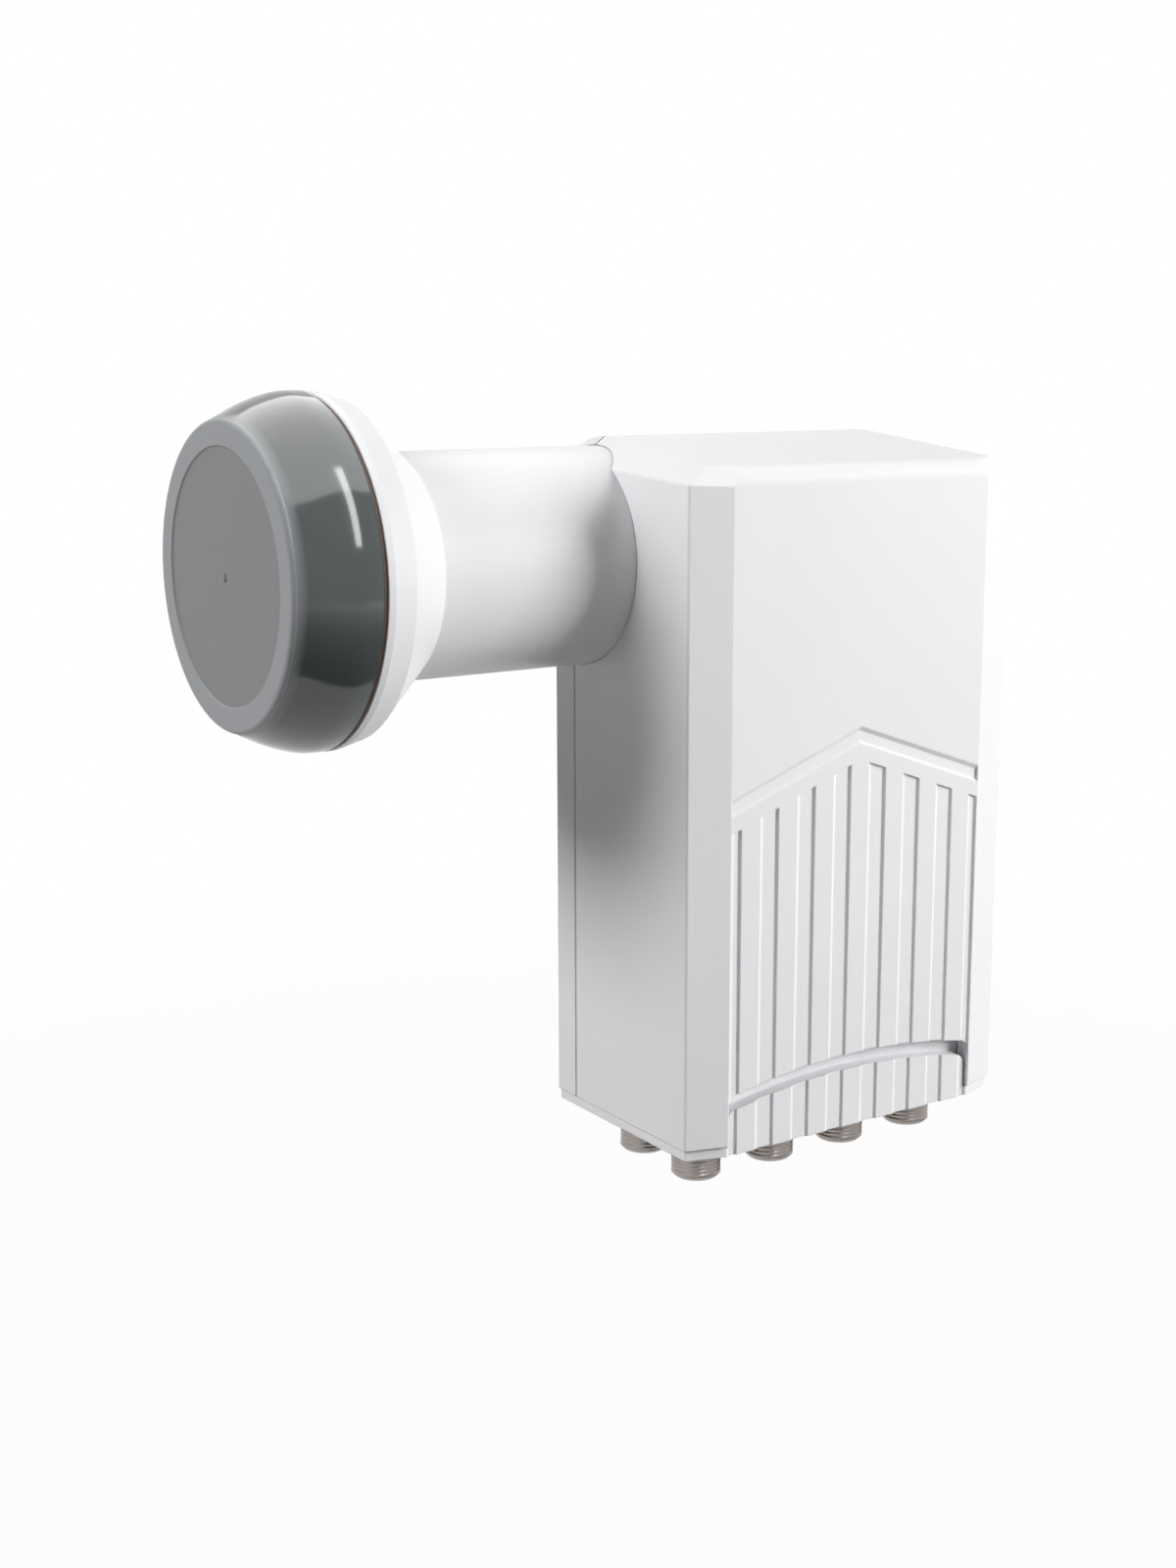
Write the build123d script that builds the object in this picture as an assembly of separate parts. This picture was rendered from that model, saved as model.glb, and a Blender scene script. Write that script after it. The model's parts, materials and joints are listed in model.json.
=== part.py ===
from build123d import *
from math import cos, radians, sin, tan
import os

os.makedirs("parts", exist_ok=True)

# Axes: horn axis along Y with the mouth at -Y, ribbed face at +X, ports at the bottom, Z up.
# Origin: middle of the clamping neck, on the horn axis. All lengths in millimetres.

# Clearances
slip = 0.05
neck_fit = 0.1
loose = 0.3
overcut = 1.0

# Clamping neck and horn cover
neck_radius = 20.0
neck_length = 38.8
neck_wall = 3.2
flange_radius = 30.6
flange_wall = 2.8
flange_step = 1.1
flange_length = 5.7
flange_land = 1.3
cone_length = 10.7
ledge_width = 1.8
ledge_set = 1.4

# Feed cap and its seal
cap_depth = 14.3
cap_wall = 1.8
cap_flare = 4.3
cap_rim_width = 4.7
cap_edge = 0.9
cap_disc_sink = 0.25
cap_gate_radius = 0.7
cap_gate_height = 0.2
seal_thickness = 0.5
seal_setback = 0.4

# Housing
body_length = 75.3
front_x = 37.65
rear_depth = 6.85
bottom_z = -104.9
roof_cover = 1.6
roof_slope = 7.07
roof_front_radius = 3.4
bevel_drop = 4.5
bevel_rise = 0.649
bevel_fall = 0.075
corner_depth = 2.4
corner_run = 8.0
edge_round = 0.6
wall = 2.0
front_wall = 3.0
seam_width = 0.5
seam_depth = 0.35
rest_radius = 2.5
rest_half = 13.0
rest_low_rise = 6.0
rest_high_rise = 24.0

# Collar that holds the inner end of the horn sleeve
collar_set = 6.4
collar_width = 2.0
collar_lip = 1.5

# Relief on the ribbed face
relief_depth = 0.5
relief_low_depth = 0.4
relief_margin = 0.15
relief_slope = 30.0
relief_wall_slope = 45.0
rib_count = 7
chevron_rise = 74.7
chevron_fall = 0.354
chevron_height = 3.2
band_height = 3.0
notch_shoulder = 9.2
notch_rise = 3.1
notch_corner_radius = 2.4

# Weather shield
shield_gap = 0.4
shield_wall = 1.6
shield_height = 45.0
shield_drop = 2.1
shield_travel = 25.0
pad_sink = 0.5
pad_side_gap = 0.3
pad_top_gap = 3.1
stop_width = 4.0
stop_height = 4.0
stop_reach = 1.5
stop_rise = 8.0

# Chassis casting
chassis_gap = 0.65
chassis_wall = 2.4
chassis_back_wall = 2.2
chassis_drop = 4.6
floor_recess = 2.9
floor_thickness = 3.5
guide_radius = 8.75
guide_wall = 2.75
guide_end_gap = 8.1
guide_end_wall = 5.0
horn_flange_thickness = 3.0
horn_rim_gap = 4.3
horn_rim_width = 2.0
horn_groove_width = 4.0
horn_groove_depth = 6.0
horn_lip_width = 1.5
horn_set = 6.6
throat_set = 7.0

# Lid, boards and fasteners
gasket_thickness = 0.5
lid_thickness = 1.5
lid_screw_radius = 1.0
lid_screw_length = 8.0
lid_head_radius = 1.9
lid_head_depth = 0.9
lid_boss_radius = 2.4
lid_boss_set = 1.4
lid_rib = 1.5
lid_low_rise = 7.0
lid_shoulder_set = 3.6
bay_half = 12.0
bay_height = 14.0
board_gap = 0.45
rf_board_thickness = 0.8
switch_board_thickness = 1.6
switch_margin = 1.5
rf_rise = 4.0
rf_head_room = 1.1
switch_rise = 5.0
switch_head_room = 5.6
board_screw_radius = 0.8
board_screw_length = 5.0
board_head_radius = 1.6
board_head_height = 1.0
rf_screw_side = 2.5
rf_screw_set = 4.0
switch_screw_drop = 3.5
switch_screw_rise = 6.5
post_radius = 2.2
shell_screw_radius = 1.2
shell_screw_length = 10.0
shell_head_radius = 2.4
shell_head_height = 2.0
shell_head_sink = 1.5
shell_boss_radius = 3.2
shell_boss_length = 14.0
shell_boss_set = 1.0
shell_screw_drop = 7.0
shell_screw_rise = 5.0

# Probes in the waveguide
probe_radius = 0.65
probe_reach = 6.25
bush_radius = 2.0
probe_v_set = 9.0
probe_spacing = 13.0
elbow_drop = 5.5
isolation_radius = 0.8

# Parts on the boards
resonator_radius = 2.9
resonator_height = 2.6
resonator_half = 5.5
transistor_size = 2.0
transistor_height = 1.1
transistor_half = 9.0
transistor_drop = 20.5
transistor_pitch = 7.0
chip_size = 9.0
chip_height = 1.4
chip_half = 6.8
regulator_width = 6.4
regulator_length = 6.0
regulator_height = 2.3
regulator_margin = 1.0
regulator_drop = 1.5
regulator_rise = 3.0
capacitor_radius = 2.6
capacitor_height = 7.0
link_length = 20.0
link_height = 2.5
link_overlap = 3.0

# Ports
port_edge = 11.4
port_row_inset = 6.55
port_radius = 4.68
port_reach = 10.4
port_end_round = 0.6
port_flange_radius = 6.0
port_flange_height = 1.4
port_shank_radius = 3.2
port_shank_end = 0.6
port_bore_radius = 2.25
port_mouth_radius = 1.8
port_mouth_depth = 1.0
nut_flat = 8.0
nut_height = 2.2
seal_height = 0.6
contact_radius = 0.45
contact_set = 2.0
contact_sink = 2.5

# Places along the horn axis
body_y = neck_length / 2
body_mid_y = body_y + body_length / 2
body_end_y = body_y + body_length
cone_y = -neck_length / 2
edge_y = cone_y - cone_length
seam_y = edge_y - flange_length
cap_back_y = seam_y - seal_thickness
cap_front_y = cap_back_y - cap_depth
ledge_y = edge_y - ledge_set
horn_flange_y = ledge_y - horn_flange_thickness
horn_front_y = cap_front_y + horn_set
throat_y = cone_y + throat_set
collar_y0 = body_y + collar_set
collar_y1 = collar_y0 + collar_width
sleeve_end_y = collar_y1 + loose + collar_width

# Radii about the horn axis
neck_bore_radius = neck_radius - neck_wall
flange_edge_radius = flange_radius - flange_step
flange_bore_radius = flange_radius - flange_wall
ledge_radius = flange_bore_radius - ledge_width
roof_radius = neck_radius + roof_cover
collar_radius = neck_radius - collar_lip
cap_rim_radius = flange_radius - cap_flare
cap_disc_radius = cap_rim_radius - cap_rim_width
spigot_radius = flange_bore_radius - loose
guide_outer = guide_radius + guide_wall
horn_rim_radius = flange_bore_radius - horn_rim_gap
horn_groove_outer = horn_rim_radius - horn_rim_width
horn_groove_inner = horn_groove_outer - horn_groove_width
horn_mouth_radius = horn_groove_inner - horn_lip_width

# Places across the housing
rear_x = -rear_depth
hollow_front_x = front_x - front_wall
hollow_rear_x = rear_x + wall
shield_front_x = hollow_front_x - shield_gap
shield_rear_x = hollow_rear_x + shield_gap
lid_x = shield_front_x - shield_wall - chassis_gap
gasket_x = lid_x - lid_thickness
chassis_depth = gasket_x - gasket_thickness
board_face_x = chassis_depth / 2 + switch_board_thickness / 2
rf_board_back = board_face_x - rf_board_thickness
switch_board_back = board_face_x - switch_board_thickness

# Heights
bevel_low = roof_radius - bevel_drop
roof_touch_x = roof_radius * sin(radians(roof_slope))
roof_touch_z = roof_radius * cos(radians(roof_slope))
roof_front_z = roof_touch_z - (front_x - roof_touch_x) * tan(radians(roof_slope))
brow_reach = roof_front_radius * tan(radians(45 - roof_slope / 2))
brow_x = front_x - brow_reach * cos(radians(roof_slope))
brow_top_z = roof_front_z + brow_reach * sin(radians(roof_slope))
brow_low_z = roof_front_z - brow_reach
chassis_top_z = bevel_low - chassis_drop
shield_bottom_z = bottom_z - shield_drop
shield_top_z = shield_bottom_z + shield_height
tray_floor_z = bottom_z + floor_recess
tray_ceiling_z = tray_floor_z + floor_thickness
chevron_apex_z = bottom_z + chevron_rise
notch_shoulder_z = bottom_z + notch_shoulder
stop_z = bottom_z + stop_rise
port_end_z = bottom_z - port_reach
seal_z = tray_floor_z - seal_height
port_flange_z = seal_z - port_flange_height

# Ribbed face and ports along the housing
face_half = body_length / 2 - corner_run
rib_pitch = 2 * face_half / (rib_count + 0.08)
rib_width = rib_pitch / 2
relief_half = face_half - relief_margin
slope_run = relief_depth / tan(radians(relief_slope))
wall_run = relief_depth / tan(radians(relief_wall_slope))
port_pitch = (body_length - 2 * port_edge) / 3
port_rows = (port_row_inset, chassis_depth - port_row_inset)
port_spots = [(x, body_mid_y + (i - 1.5) * port_pitch) for x in port_rows for i in range(4)]

# Tray of the chassis: narrow between the shell bosses, wide around the ports
boss_inset = wall + shell_boss_set + shell_boss_radius
tray_inset = wall + shield_gap + shield_wall + chassis_gap
upper_y0 = sleeve_end_y + 2 * chassis_gap
upper_y1 = body_end_y - boss_inset - shell_boss_radius - 2 * shield_gap
upper_in_y0 = upper_y0 + chassis_wall
upper_in_y1 = upper_y1 - chassis_wall
upper_in_z = chassis_top_z - chassis_wall
lower_in_y0 = body_y + tray_inset + chassis_wall
lower_in_y1 = body_end_y - tray_inset - chassis_wall
lower_in_z = shield_top_z - chassis_wall
guide_end_y = upper_y1 - guide_end_gap
guide_short_y = guide_end_y - guide_end_wall

# Boards
rf_y0 = upper_in_y0 + lid_boss_set + lid_boss_radius + board_gap
rf_y1 = upper_in_y1 - lid_boss_set - lid_boss_radius - board_gap
rf_z0 = shield_top_z + rf_rise
rf_z1 = upper_in_z - rf_head_room
switch_y0 = lower_in_y0 + switch_margin
switch_y1 = lower_in_y1 - switch_margin
switch_z0 = tray_ceiling_z + switch_rise
switch_z1 = lower_in_z - switch_head_room

# Screw places as (y, z)
shell_screw_spots = [
    (y, z)
    for y in (body_y + boss_inset, body_end_y - boss_inset)
    for z in (-neck_radius - shell_screw_drop, shield_top_z + shell_screw_rise)
]
rest_spots = [
    (body_mid_y + a, shield_top_z + b)
    for a in (-rest_half, rest_half)
    for b in (rest_low_rise, rest_high_rise)
]
lid_top_z = upper_in_z - lid_boss_set
lid_levels = (lid_top_z, (upper_in_z + shield_top_z) / 2, shield_top_z + lid_low_rise)
lid_sides = (upper_in_y0 + lid_boss_set, upper_in_y1 - lid_boss_set)
lid_screw_spots = [(y, z) for z in lid_levels for y in lid_sides]
lid_shoulders = (lower_in_y0 + lid_shoulder_set, lower_in_y1 - lid_shoulder_set)
lid_screw_spots += [(y, lower_in_z - lid_boss_set) for y in lid_shoulders]
lid_screw_spots += [(body_mid_y + a, tray_ceiling_z + lid_boss_set) for a in (-port_pitch, port_pitch)]
rf_sides = (rf_y0 + rf_screw_side, rf_y1 - rf_screw_side)
rf_screw_spots = [(y, z) for y in rf_sides for z in (rf_z1 - rf_screw_set, rf_z0 + rf_screw_set)]
switch_levels = (switch_z1 - switch_screw_drop, switch_z0 + switch_screw_rise)
switch_screw_spots = [(body_mid_y + a, z) for a in (-port_pitch, port_pitch) for z in switch_levels]


def block(x0, x1, y0, y1, z0, z1):
    """Box between two corners."""
    return Pos((x0 + x1) / 2, (y0 + y1) / 2, (z0 + z1) / 2) * Box(x1 - x0, y1 - y0, z1 - z0)


def rod_x(x0, x1, y, z, radius):
    """Round bar along X."""
    return Pos((x0 + x1) / 2, y, z) * Rot(0, 90, 0) * Cylinder(radius, x1 - x0)


def rod_y(y0, y1, radius):
    """Round bar on the horn axis."""
    return Pos(0, (y0 + y1) / 2, 0) * Rot(90, 0, 0) * Cylinder(radius, y1 - y0)


def rod_z(z0, z1, x, y, radius):
    """Round bar along Z."""
    return Pos(x, y, (z0 + z1) / 2) * Cylinder(radius, z1 - z0)


def lathe(points):
    """Solid turned about the horn axis from (radius, y) points."""
    return revolve(make_face(Polyline(*points, close=True)), Axis.Y)


def plate(points, x0, x1):
    """Plate cut to a closed outline of (y, z) points, standing from x0 to x1."""
    face = make_face(Polyline(*points, close=True))
    return extrude(Plane.YZ.offset(x0) * face, amount=x1 - x0)


def plan_block(x0, x1, inset, z0, z1):
    """Upright block with the two bevelled front corners of the housing."""
    y0 = body_y + inset
    y1 = body_end_y - inset
    points = [
        (x0, y0),
        (x1 - corner_depth, y0),
        (x1, body_y + corner_run),
        (x1, body_end_y - corner_run),
        (x1 - corner_depth, y1),
        (x0, y1),
    ]
    return extrude(Pos(0, 0, z0) * make_face(Polyline(*points, close=True)), amount=z1 - z0)


def roof_wedges(inset):
    """The two sloping cuts that bevel the ends of the roof."""
    low = bevel_low - inset * (1 + bevel_rise**2) ** 0.5
    span = body_length / 6
    cuts = []
    for y, way in ((body_y, 1), (body_end_y, -1)):
        points = [
            (y - way, low - bevel_rise),
            (y + way * span, low + bevel_rise * span),
            (y + way * span, low + body_length),
            (y - way, low + body_length),
        ]
        face = Plane.YZ * make_face(Polyline(*points, close=True))
        cuts.append(extrude(face, amount=2 * front_x, dir=(1, 0, -bevel_fall)))
    return cuts[0] + cuts[1]


def corner_facets():
    """The two sloping cuts between the roof and the bevelled front corners."""
    side_x = front_x - corner_depth
    run = (brow_top_z - bevel_low + bevel_fall * brow_x) / bevel_rise
    cuts = []
    for y, way in ((body_y, 1), (body_end_y, -1)):
        side = Vector(side_x, y, bevel_low - bevel_fall * side_x)
        front = Vector(front_x, y + way * corner_run, brow_low_z)
        top = Vector(brow_x, y + way * run, brow_top_z)
        outward = (front - side).cross(top - side) * way
        facet = Plane(origin=side, x_dir=front - side, z_dir=outward)
        cuts.append(facet * Pos(0, 0, corner_run / 2) * Box(3 * corner_run, 2 * corner_run, corner_run))
    return cuts[0] + cuts[1]


def front_form(inset, front_inset, low_z):
    """Solid of the front half of the housing, or of its hollow."""
    x = front_x - front_inset
    radius = roof_radius - inset
    slope = radians(roof_slope)
    touch = (radius * sin(slope), radius * cos(slope))
    middle = (radius * sin(slope / 2), radius * cos(slope / 2))
    corner = (x, touch[1] - (x - touch[0]) * tan(slope))
    outline = [
        Line((0, low_z), (x, low_z)),
        Line((x, low_z), corner),
        Line(corner, touch),
        ThreePointArc(touch, middle, (0, radius)),
        Line((0, radius), (0, low_z)),
    ]
    side = Plane.XZ.offset(-body_end_y) * make_face(outline)
    solid = extrude(side, amount=body_length)
    roof_edge = solid.edges().filter_by(Axis.Y).sort_by_distance((corner[0], body_mid_y, corner[1]))[0]
    solid = fillet(roof_edge, roof_front_radius - inset)
    solid = solid & plan_block(0, x, inset, low_z, radius)
    return solid - roof_wedges(inset)


def rear_form(inset, low_z):
    """Solid of the rear half of the housing with its hump, or of its hollow."""
    radius = roof_radius - inset
    y0 = body_y + inset
    y1 = body_end_y - inset
    low = bevel_low + inset * (bevel_rise - (1 + bevel_rise**2) ** 0.5)
    run = (radius - low) / bevel_rise
    hump = lathe([(0, y0), (low, y0), (radius, y0 + run), (radius, y1 - run), (low, y1), (0, y1)])
    half = hump & block(-radius - overcut, 0, y0, y1, -radius - overcut, radius + overcut)
    return half + block(rear_x + inset, 0, y0, y1, low_z, 0)


def arch(half_width, shoulder, rise, low_z, radius):
    """Outline of the notch on the ribbed face: upright sides under a flat arch."""
    left = body_mid_y - half_width
    right = body_mid_y + half_width
    outline = [
        Line((left, low_z), (left, shoulder)),
        ThreePointArc((left, shoulder), (body_mid_y, shoulder + rise), (right, shoulder)),
        Line((right, shoulder), (right, low_z)),
        Line((right, low_z), (left, low_z)),
    ]
    face = make_face(outline)
    return fillet(face.vertices().sort_by(Axis.Y)[-2:], radius)


def chevron_z(y, drop):
    """Height of the chevron line at a place along the face."""
    return chevron_apex_z - drop - chevron_fall * abs(y - body_mid_y)


def rib_grooves(face_x, low_z):
    """Upright grooves between the ribs, one side gently sloping, shallower towards the bottom."""
    edges = [-relief_half]
    for i in range(rib_count):
        centre = (i - (rib_count - 1) / 2) * rib_pitch
        edges += [centre - rib_width / 2, centre + rib_width / 2]
    edges.append(relief_half)
    drop = chevron_height + band_height
    profile = [
        (face_x + overcut, chevron_apex_z),
        (face_x - relief_depth, chevron_apex_z),
        (face_x - relief_low_depth, notch_shoulder_z),
        (face_x - relief_low_depth, low_z),
        (face_x + overcut, low_z),
    ]
    side = Plane.XZ.offset(-body_end_y) * make_face(Polyline(*profile, close=True))
    depth = extrude(side, amount=body_length)
    deep_x = face_x - relief_depth
    grooves = []
    for a, b in zip(edges[::2], edges[1::2]):
        y0 = body_mid_y + a
        y1 = body_mid_y + b
        points = [(y0, low_z), (y1, low_z), (y1, chevron_z(y1, drop)), (y0, chevron_z(y0, drop))]
        plan = [
            (face_x + overcut, y0),
            (face_x, y0),
            (deep_x, y0 + slope_run),
            (deep_x, y1 - wall_run),
            (face_x, y1),
            (face_x + overcut, y1),
        ]
        floor = Pos(0, 0, low_z) * make_face(Polyline(*plan, close=True))
        sloped = extrude(floor, amount=chevron_apex_z - low_z)
        grooves.append(plate(points, face_x - 2 * relief_depth, face_x + overcut) & depth & sloped)
    return grooves


def chevron_groove():
    """Groove along the chevron line, its upper side gently sloping."""
    low_z = chevron_apex_z - chevron_height
    deep_x = front_x - relief_depth
    points = [
        (front_x + overcut, chevron_apex_z),
        (front_x, chevron_apex_z),
        (deep_x, chevron_apex_z - slope_run),
        (deep_x, low_z + wall_run),
        (front_x, low_z),
        (front_x + overcut, low_z),
    ]
    section = Plane.XZ.offset(-body_mid_y) * make_face(Polyline(*points, close=True))
    length = relief_half * (1 + chevron_fall**2) ** 0.5
    halves = [extrude(section, amount=length, dir=(0, way, -chevron_fall)) for way in (-1, 1)]
    return halves[0] + halves[1]


def tray_outline(x0, x1, inset):
    """Tray shape, narrow above and wide around the ports."""
    low = tray_floor_z if inset == 0 else tray_ceiling_z
    edge = tray_inset + inset
    upper = block(x0, x1, upper_y0 + inset, upper_y1 - inset, low, chassis_top_z - inset)
    lower = block(x0, x1, body_y + edge, body_end_y - edge, low, shield_top_z - inset)
    return (upper + lower) & plan_block(-chassis_back_wall, lid_x, edge, low, chassis_top_z)


# Front shell: hollow half with relief, notch, screw bosses, rests and the stops of the weather shield
collar = rod_y(collar_y0, collar_y1, roof_radius + collar_lip) - rod_y(collar_y0, collar_y1, collar_radius)
collar_span = 2 * roof_radius
neck_hole = rod_y(body_y - overcut, collar_y0, neck_radius + neck_fit)
front_solid = front_form(0, 0, bottom_z) - corner_facets()
sharp = front_solid.edges().filter_by(Axis.Y, reverse=True)
uprights = sharp.filter_by(Axis.Z).filter_by(lambda e: e.center().X > front_x / 2)
brows = sharp.filter_by(lambda e: e.center().Z > bevel_low - bevel_drop and e.center().X > 2 * roof_cover)
front_solid = fillet(uprights + brows, edge_round)
front_shell = front_solid - front_form(wall, front_wall, bottom_z - overcut)
front_shell += collar & front_solid & block(0, collar_span, collar_y0, collar_y1, -collar_span, collar_span)
for y, z in shell_screw_spots:
    side_y = body_y + wall / 2 if y < body_mid_y else body_end_y - wall / 2
    front_shell += rod_x(0, shell_boss_length, y, z, shell_boss_radius)
    front_shell += block(0, shell_boss_length, min(y, side_y), max(y, side_y), z - wall / 2, z + wall / 2)
    front_shell -= rod_x(-overcut, shell_boss_length - wall, y, z, shell_screw_radius + slip)
for y, z in rest_spots:
    front_shell += rod_x(lid_x, hollow_front_x + overcut, y, z, rest_radius)
stop_x = (hollow_front_x + hollow_rear_x) / 2
stop_spans = (
    (body_y + wall / 2, body_y + wall + stop_reach),
    (body_end_y - wall - stop_reach, body_end_y - wall / 2),
)
stop_x0 = stop_x - stop_width / 2
for y0, y1 in stop_spans:
    front_shell += block(stop_x0, stop_x0 + stop_width, y0, y1, stop_z, stop_z + stop_height)
front_shell -= neck_hole
front_shell -= chevron_groove()
for groove in rib_grooves(front_x, notch_shoulder_z - 2 * notch_corner_radius):
    front_shell -= groove
notch = arch(relief_half, notch_shoulder_z, notch_rise, bottom_z - overcut, notch_corner_radius)
front_shell -= extrude(Plane.YZ.offset(hollow_front_x - overcut) * notch, amount=front_wall + 2 * overcut)
export_step(front_shell, "parts/front_shell.step")

# Rear cover: thin half with the hump over the waveguide and a shadow line along the parting
rear_solid = rear_form(0, bottom_z)
rear_uprights = rear_solid.edges().filter_by(Axis.Z).filter_by(lambda e: e.center().X < rear_x / 2)
rear_solid = fillet(rear_uprights, edge_round)
rear_cover = rear_solid - rear_form(wall, bottom_z - overcut)
rear_cover += collar & rear_solid & block(-collar_span, 0, collar_y0, collar_y1, -collar_span, collar_span)
for y, z in shell_screw_spots:
    rear_cover += rod_x(rear_x + wall / 2, 0, y, z, shell_boss_radius)
for y, z in rest_spots:
    rear_cover += rod_x(rear_x + wall / 2, -chassis_back_wall, y, z, rest_radius)
screw_seat_x = rear_x + shell_head_sink + shell_head_height
for y, z in shell_screw_spots:
    rear_cover -= rod_x(rear_x - overcut, overcut, y, z, shell_screw_radius + loose)
    rear_cover -= rod_x(rear_x - overcut, screw_seat_x, y, z, shell_head_radius + loose)
rear_cover -= neck_hole
seam_y0 = body_y - overcut
seam_y1 = body_end_y + overcut
seam_band = block(-seam_width, overcut, seam_y0, seam_y1, bottom_z - overcut, roof_radius + overcut)
rear_cover -= seam_band & (rear_solid - rear_form(seam_depth, bottom_z))
export_step(rear_cover, "parts/rear_cover.step")

# Screws of the rear cover
head_x = screw_seat_x - shell_head_height
shell_screws = []
for y, z in shell_screw_spots:
    shank = rod_x(screw_seat_x, shell_screw_length, y, z, shell_screw_radius)
    head = rod_x(head_x, screw_seat_x, y, z, shell_head_radius)
    drive = rod_x(head_x, head_x + shell_head_height / 2, y, z, shell_head_radius / 3)
    shell_screws.append(shank + head - drive)
export_step(Compound(children=shell_screws), "parts/shell_screws.step")

# Weather shield: sleeve with a ribbed grip pad in the notch, a foot under the shell and a slot for each stop
shield_inset = wall + shield_gap
shield_in_inset = shield_inset + shield_wall
shield_in_front_x = shield_front_x - shield_wall
shield_in_rear_x = shield_rear_x + shield_wall
shield = plan_block(shield_rear_x, shield_front_x, shield_inset, shield_bottom_z, shield_top_z)
shield_low_z = shield_bottom_z - overcut
shield_high_z = shield_top_z + overcut
pad_half = relief_half - pad_side_gap
pad_face_x = front_x - pad_sink
pad_root_x = shield_front_x - shield_wall / 2
pad_outline = arch(pad_half, notch_shoulder_z - pad_top_gap, notch_rise, shield_bottom_z, notch_corner_radius)
pad = extrude(Plane.YZ.offset(pad_root_x) * pad_outline, amount=pad_face_x - pad_root_x)
foot = plan_block(rear_x + pad_sink, pad_face_x, pad_sink, shield_bottom_z, bottom_z - shield_gap)
shield += pad + foot
shield -= plan_block(shield_in_rear_x, shield_in_front_x, shield_in_inset, shield_low_z, shield_high_z)
for groove in rib_grooves(pad_face_x, shield_low_z):
    shield -= groove
slot_half = stop_width / 2 + loose
slot_z1 = stop_z + stop_height + shield_travel + loose
shield -= block(stop_x - slot_half, stop_x + slot_half, body_y, body_end_y, stop_z - loose, slot_z1)
export_step(shield, "parts/weather_shield.step")

# Horn sleeve: flange, cone and clamping neck, with the ledge that seats the cast horn
sleeve_groove_radius = collar_radius - loose
sleeve_end_radius = roof_radius - wall - shield_gap
horn_sleeve = lathe(
    [
        (flange_bore_radius, seam_y),
        (flange_radius, seam_y),
        (flange_radius, seam_y + flange_land),
        (flange_edge_radius, edge_y),
        (neck_radius, cone_y),
        (neck_radius, collar_y0),
        (sleeve_groove_radius, collar_y0),
        (sleeve_groove_radius, collar_y1 + loose),
        (sleeve_end_radius, collar_y1 + loose),
        (sleeve_end_radius, sleeve_end_y),
        (neck_bore_radius, sleeve_end_y),
        (neck_bore_radius, cone_y - ledge_set),
        (ledge_radius, edge_y + loose),
        (ledge_radius, ledge_y),
        (flange_bore_radius, ledge_y),
    ]
)
export_step(horn_sleeve, "parts/horn_sleeve.step")

# Feed cap: flat window, flared side and a spigot that presses on the cast horn
rim_start = (cap_rim_radius - cap_edge, cap_front_y)
rim_middle = (cap_rim_radius - 0.29 * cap_edge, cap_front_y + 0.29 * cap_edge)
rim_end = (cap_rim_radius, cap_front_y + cap_edge)
back_start = (flange_radius, cap_back_y - seal_setback)
flare = [
    rim_end,
    (cap_rim_radius + 0.49 * cap_flare, cap_front_y + 0.35 * cap_depth),
    (cap_rim_radius + 0.77 * cap_flare, cap_front_y + 0.56 * cap_depth),
    (cap_rim_radius + 0.96 * cap_flare, cap_front_y + 0.77 * cap_depth),
    back_start,
]
side_curve = Spline(*flare, tangents=((1, 2), (0, 1)))
inner = 1.15 * cap_wall
inside = [
    back_start,
    (flange_radius - seal_setback, cap_back_y),
    (spigot_radius, cap_back_y),
    (spigot_radius, horn_flange_y),
    (spigot_radius - cap_wall, horn_flange_y),
    (spigot_radius - cap_wall, cap_back_y - cap_wall),
    (cap_rim_radius + 0.77 * cap_flare - inner, cap_front_y + 0.56 * cap_depth),
    (cap_rim_radius + 0.49 * cap_flare - inner, cap_front_y + 0.35 * cap_depth),
    (cap_rim_radius - cap_wall, cap_front_y + inner),
    (cap_rim_radius - inner - cap_disc_sink, cap_front_y + cap_wall),
    (0, cap_front_y + cap_wall),
    (0, cap_front_y + cap_disc_sink),
    (cap_disc_radius, cap_front_y + cap_disc_sink),
    (cap_disc_radius + cap_disc_sink, cap_front_y),
    rim_start,
]
cap_outline = [ThreePointArc(rim_start, rim_middle, rim_end), side_curve, Polyline(*inside)]
feed_cap = revolve(make_face(cap_outline), Axis.Y)
gate_y = cap_front_y + cap_disc_sink
feed_cap += rod_y(gate_y - cap_gate_height, gate_y + cap_wall / 2, cap_gate_radius)
export_step(feed_cap, "parts/feed_cap.step")

# Seal in the seam between cap and flange
cap_seal = rod_y(cap_back_y, seam_y, flange_radius - seal_setback)
cap_seal -= rod_y(cap_back_y, seam_y, flange_bore_radius)
export_step(cap_seal, "parts/cap_seal.step")

# Chassis casting: horn, waveguide and board tray in one piece
tray_solid = tray_outline(-chassis_back_wall, chassis_depth, 0)
chassis = tray_solid - tray_outline(0, chassis_depth + overcut, chassis_wall)
for y, z in lid_screw_spots:
    chassis += rod_x(0, chassis_depth, y, z, lid_boss_radius)
for y, z in rf_screw_spots:
    chassis += rod_x(0, rf_board_back, y, z, post_radius)
for y, z in switch_screw_spots:
    chassis += rod_x(0, switch_board_back, y, z, post_radius)
chassis = chassis & tray_solid
chassis += lathe(
    [
        (0, horn_front_y),
        (horn_rim_radius, horn_front_y),
        (horn_rim_radius, horn_flange_y),
        (spigot_radius, horn_flange_y),
        (spigot_radius, ledge_y),
        (ledge_radius - ledge_width, ledge_y),
        (guide_outer, cone_y + guide_wall),
        (guide_outer, guide_end_y),
        (0, guide_end_y),
    ]
)
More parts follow.
